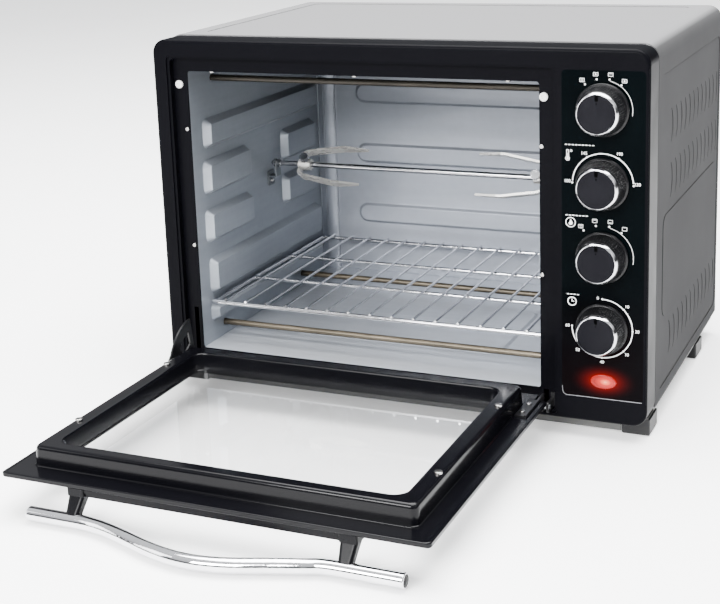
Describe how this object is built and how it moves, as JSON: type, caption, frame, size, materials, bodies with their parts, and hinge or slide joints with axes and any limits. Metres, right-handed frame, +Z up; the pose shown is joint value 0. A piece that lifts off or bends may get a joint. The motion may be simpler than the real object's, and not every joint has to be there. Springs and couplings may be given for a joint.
{
  "type": "rotisserie oven",
  "caption": "Countertop electric oven with a drop-down glass door, wire rack, driven roasting spit with forks, and a control panel with rotary knobs and a lamp.",
  "frame": {"origin": "middle of the bounding box's footprint at the underside of the feet, with the door open as stored", "axes": "+X to the oven's right as seen from the front, +Y from the open door to the back, +Z up"},
  "size_m": [0.5, 0.7164, 0.366],
  "materials": {
    "casing_paint": "satin",
    "frame_paint": "satin",
    "base_steel": "satin",
    "galvanised": "satin",
    "element_steel": "satin",
    "ceramic": "matte",
    "chrome": "polished",
    "door_enamel": "gloss",
    "glass": "polished",
    "gloss_black": "gloss",
    "arm_steel": "satin",
    "panel_gloss": "gloss",
    "red_lens": "gloss",
    "black_plastic": "matte",
    "timer_case": "satin",
    "knob_black": "satin",
    "knob_trim": "polished",
    "shaft_metal": "satin",
    "silicone": "matte"
  },
  "bodies": {
    "oven": {"base_plate": "base_steel", "body_screws": "arm_steel", "control_panel": "panel_gloss", "door_bumpers": "silicone", "element_insulators": "ceramic", "feet": "black_plastic", "front_frame": "frame_paint", "function_switch": "black_plastic", "gear_motor": "timer_case", "hinge_brackets": "arm_steel", "hinge_pins": "arm_steel", "lamp_body": "black_plastic", "lamp_lens": "red_lens", "liner_back": "galvanised", "liner_floor": "galvanised", "liner_left": "galvanised", "liner_right": "galvanised", "liner_top": "galvanised", "lower_element_front": "element_steel", "lower_element_rear": "element_steel", "outer_casing": "casing_paint", "power_inlet": "black_plastic", "rear_panel": "casing_paint", "selector_switch": "black_plastic", "spit_support": "galvanised", "thermostat": "black_plastic", "timer_movement": "timer_case", "upper_element_front": "element_steel", "upper_element_rear": "element_steel", "wall_spacers": "black_plastic"},
    "door": {"door_outer_frame": "door_enamel", "door_inner_frame": "door_enamel", "door_glass": "glass", "handle_bar": "chrome", "handle_strip": "gloss_black", "handle_post_left": "gloss_black", "handle_post_right": "gloss_black", "hinge_arm_left": "arm_steel", "hinge_arm_right": "arm_steel", "door_screws": "arm_steel"},
    "rack": {"wire_rack": "chrome"},
    "spit": {"spit_rod": "chrome", "drive_socket": "chrome"},
    "left_fork": {"fork_left": "chrome", "thumbscrew_left": "chrome"},
    "right_fork": {"fork_right": "chrome", "thumbscrew_right": "chrome"},
    "selector_knob": {"knob_selector": "knob_black", "knob_trim_selector": "knob_trim", "shaft_selector": "shaft_metal"},
    "temperature_knob": {"knob_temperature": "knob_black", "knob_trim_temperature": "knob_trim", "shaft_temperature": "shaft_metal"},
    "function_knob": {"knob_function": "knob_black", "knob_trim_function": "knob_trim", "shaft_function": "shaft_metal"},
    "timer_knob": {"knob_timer": "knob_black", "knob_trim_timer": "knob_trim", "shaft_timer": "shaft_metal"}
  },
  "joints": [
    {"name": "door_hinge", "type": "hinge", "parent": "oven", "child": "door", "pos_m": [-0.034, -0.00175, 0.0285], "axis": [-1, 0, 0], "range_deg": [0, 90]},
    {"name": "rack_slide", "type": "slide", "parent": "oven", "child": "rack", "axis": [0, 1, 0], "range_m": [-0.22, 0]},
    {"name": "spit_turn", "type": "hinge", "parent": "oven", "child": "spit", "pos_m": [-0.034, 0.18025, 0.2045], "axis": [1, 0, 0], "continuous": true},
    {"name": "left_fork_slide", "type": "slide", "parent": "spit", "child": "left_fork", "axis": [1, 0, 0], "range_m": [-0.015, 0.06]},
    {"name": "right_fork_slide", "type": "slide", "parent": "spit", "child": "right_fork", "axis": [1, 0, 0], "range_m": [-0.06, 0.015]},
    {"name": "selector_turn", "type": "hinge", "parent": "oven", "child": "selector_knob", "pos_m": [0.2085, -0.00775, 0.311], "axis": [0, 1, 0], "range_deg": [-36, 36]},
    {"name": "temperature_turn", "type": "hinge", "parent": "oven", "child": "temperature_knob", "pos_m": [0.2085, -0.00775, 0.244], "axis": [0, 1, 0], "range_deg": [-90, 90]},
    {"name": "function_turn", "type": "hinge", "parent": "oven", "child": "function_knob", "pos_m": [0.2085, -0.00775, 0.1765], "axis": [0, 1, 0], "range_deg": [-36, 36]},
    {"name": "timer_turn", "type": "hinge", "parent": "oven", "child": "timer_knob", "pos_m": [0.2085, -0.00775, 0.109], "axis": [0, 1, 0], "range_deg": [0, 270]}
  ]
}
